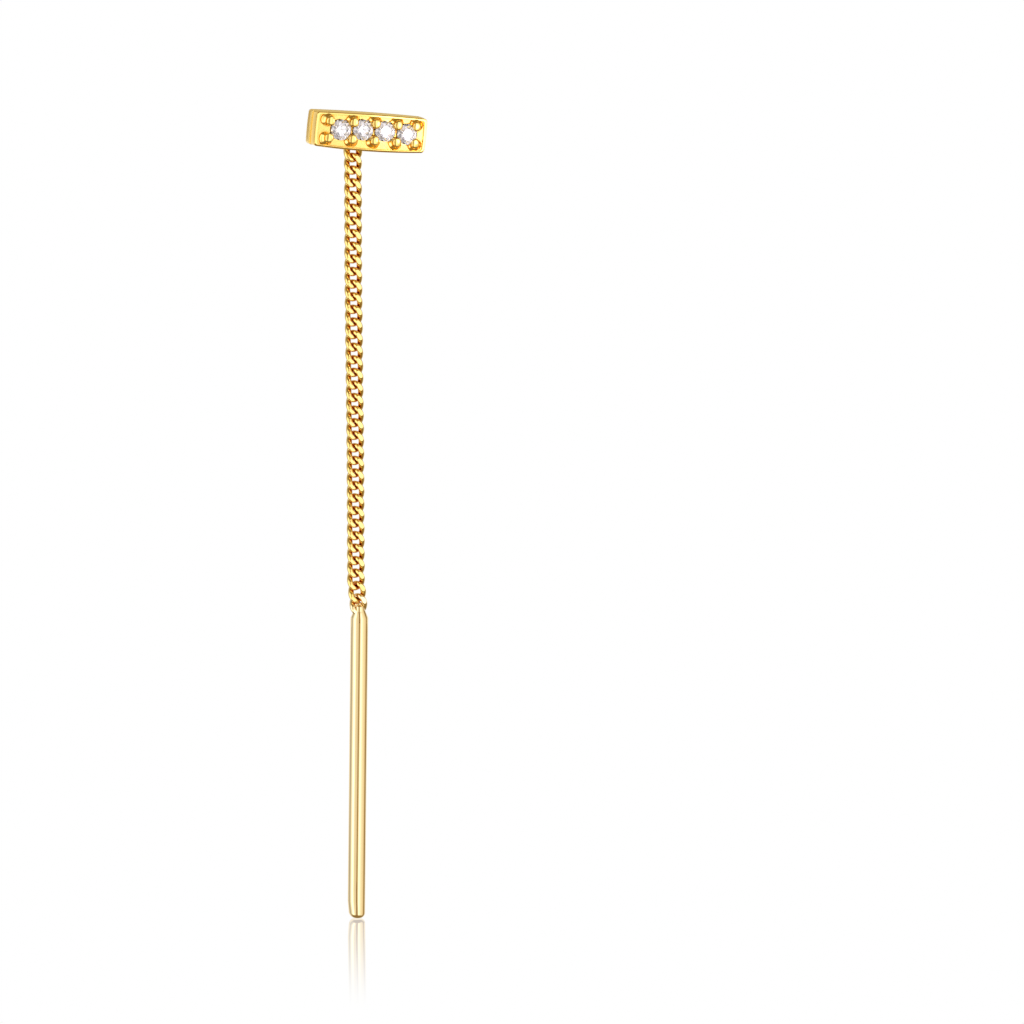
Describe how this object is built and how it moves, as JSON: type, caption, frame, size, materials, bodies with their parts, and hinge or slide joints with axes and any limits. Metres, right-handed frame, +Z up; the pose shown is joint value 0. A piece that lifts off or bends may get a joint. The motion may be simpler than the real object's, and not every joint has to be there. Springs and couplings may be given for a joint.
{
  "type": "bar drop earring",
  "caption": "Pull-through bar drop earring: a short bar of prong-set round stones in front, a fine curb chain soldered behind it and a plain round rod at the chain's end.",
  "frame": {"origin": "on the bar's back, at the middle of the solder pad that holds the chain, where the earring hangs against the ear", "axes": "+Z up along the chain and the rod, the stones face -Y, +X runs to the bar's right end as seen from the front"},
  "size_m": [0.0066, 0.0026, 0.0455],
  "materials": {
    "bar_gold": "yellow gold, brushed sides and a frosted setting plate",
    "chain_gold": "polished yellow gold with cut flats",
    "rod_gold": "polished yellow gold",
    "stone": "cut and polished clear stone"
  },
  "bodies": {
    "bar": {"pave_bar": "bar_gold", "stone_1": "stone", "stone_2": "stone", "stone_3": "stone", "stone_4": "stone", "curb_chain": "chain_gold"},
    "drop": {"drop_rod": "rod_gold"}
  },
  "joints": [
    {"name": "rod_swing", "type": "hinge", "parent": "bar", "child": "drop", "pos_m": [0.00017, 0.00045, -0.02633], "axis": [0.8927, 0.4507, 0], "range_deg": [-45, 45]}
  ]
}
